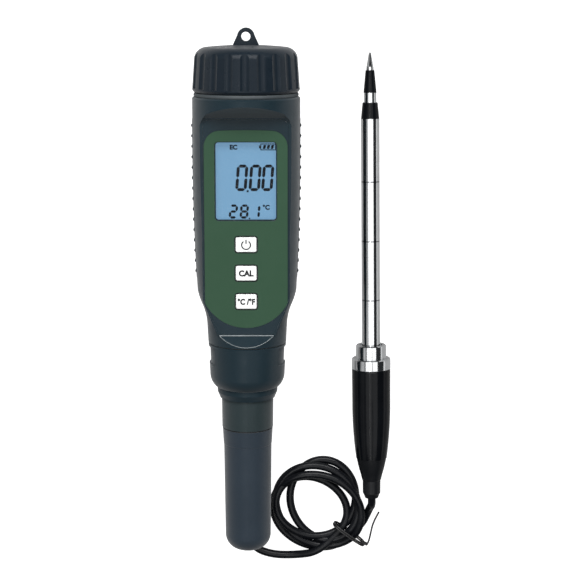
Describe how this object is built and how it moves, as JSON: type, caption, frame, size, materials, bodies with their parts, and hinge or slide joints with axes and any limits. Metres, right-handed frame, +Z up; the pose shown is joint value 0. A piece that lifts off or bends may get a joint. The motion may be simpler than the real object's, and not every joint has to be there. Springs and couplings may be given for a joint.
{
  "type": "water quality probe",
  "caption": "Pen-type conductivity meter with a screw cap, display and keys, joined by a coiled thin cable to a pointed steel soil probe.",
  "frame": {"origin": "centre of the footprint of the meter and the probe, on the table that they lie on", "axes": "+Y along the meter towards its battery cap and the probe's tip, +X from the meter to the probe, +Z up out of the display"},
  "size_m": [0.0737, 0.2052, 0.0388],
  "materials": {
    "shell": "satin moulded ABS, dark blue-grey",
    "grip": "soft overmoulded rubber, dark blue-grey",
    "tube": "satin moulded ABS, mid blue-grey",
    "seal": "grey silicone rubber",
    "black_rubber": "black rubber",
    "black_plastic": "black moulded plastic, satin gloss",
    "label": "printed polyester film, green",
    "lens": "clear acrylic window",
    "lcd": "liquid crystal glass, pale blue",
    "light_guide": "frosted acrylic light guide",
    "white_plastic": "white moulded plastic",
    "key": "white silicone keys",
    "board": "glass-fibre board, green solder mask",
    "chip": "black epoxy package",
    "steel": "polished stainless steel",
    "cell_steel": "nickel-plated steel",
    "brass": "plated spring brass",
    "cord": "soft black PVC jacket",
    "wire": "coloured wire insulation"
  },
  "bodies": {
    "root": {"backlight": "light_guide", "battery_holder": "black_plastic", "board_screws": "cell_steel", "board_tray": "black_plastic", "button_cells": "cell_steel", "cable_tie": "black_plastic", "cap_seal": "seal", "cell_contact": "brass", "circuit_board": "board", "controller_chip": "chip", "cord_coil": "cord", "cord_grommet": "black_rubber", "cord_lead": "cord", "cord_tail": "cord", "display_lens": "lens", "end_tube": "tube", "front_label": "label", "front_plate": "shell", "grip_left": "grip", "grip_right": "grip", "handle_boot": "black_rubber", "housing": "shell", "key_switches": "cell_steel", "lcd_frame": "white_plastic", "lcd_glass": "lcd", "probe_handle": "black_plastic", "probe_wires": "wire", "ring_electrode": "steel", "shaft_ferrule": "steel", "shaft_insulator": "black_plastic", "shaft_tube": "steel", "signal_wires": "wire", "stem_gasket": "black_rubber", "stem_seal": "black_rubber", "stem_tube": "shell", "thermistor": "black_plastic", "tip_electrode": "steel", "tip_insulator": "black_plastic", "wire_header": "white_plastic", "zebra_strip": "black_rubber"},
    "cap_plate": {"contact_disc": "white_plastic", "contact_leaf": "brass"},
    "cap": {"battery_cap": "shell"},
    "slip_ring": {"collar_washer": "white_plastic"},
    "collar": {"collar_nut": "shell"},
    "power_key": {"key_power": "key"},
    "cal_key": {"key_cal": "key"},
    "unit_key": {"key_unit": "key"}
  },
  "joints": [
    {"name": "cap_rise", "type": "slide", "parent": "root", "child": "cap_plate", "axis": [0, 1, 0], "range_m": [0, 0.0075]},
    {"name": "cap_turn", "type": "hinge", "parent": "cap_plate", "child": "cap", "pos_m": [-0.0173, 0.08, 0.01945], "axis": [0, 1, 0], "range_deg": [0, 900]},
    {"name": "collar_slide", "type": "slide", "parent": "root", "child": "slip_ring", "axis": [0, -1, 0], "range_m": [0, 0.004]},
    {"name": "collar_turn", "type": "hinge", "parent": "slip_ring", "child": "collar", "pos_m": [-0.0173, -0.025, 0.01945], "axis": [0, -1, 0], "range_deg": [0, 720]},
    {"name": "power_press", "type": "slide", "parent": "root", "child": "power_key", "axis": [0, 0, -1], "range_m": [0, 0.0004], "stiffness_N_per_m": 800},
    {"name": "cal_press", "type": "slide", "parent": "root", "child": "cal_key", "axis": [0, 0, -1], "range_m": [0, 0.0004], "stiffness_N_per_m": 800},
    {"name": "unit_press", "type": "slide", "parent": "root", "child": "unit_key", "axis": [0, 0, -1], "range_m": [0, 0.0004], "stiffness_N_per_m": 800}
  ],
  "couplings": [
    {"joint": "cap_rise", "follows": "cap_turn", "m_per_rad": 0.00047746},
    {"joint": "collar_slide", "follows": "collar_turn", "m_per_rad": 0.00031831}
  ]
}
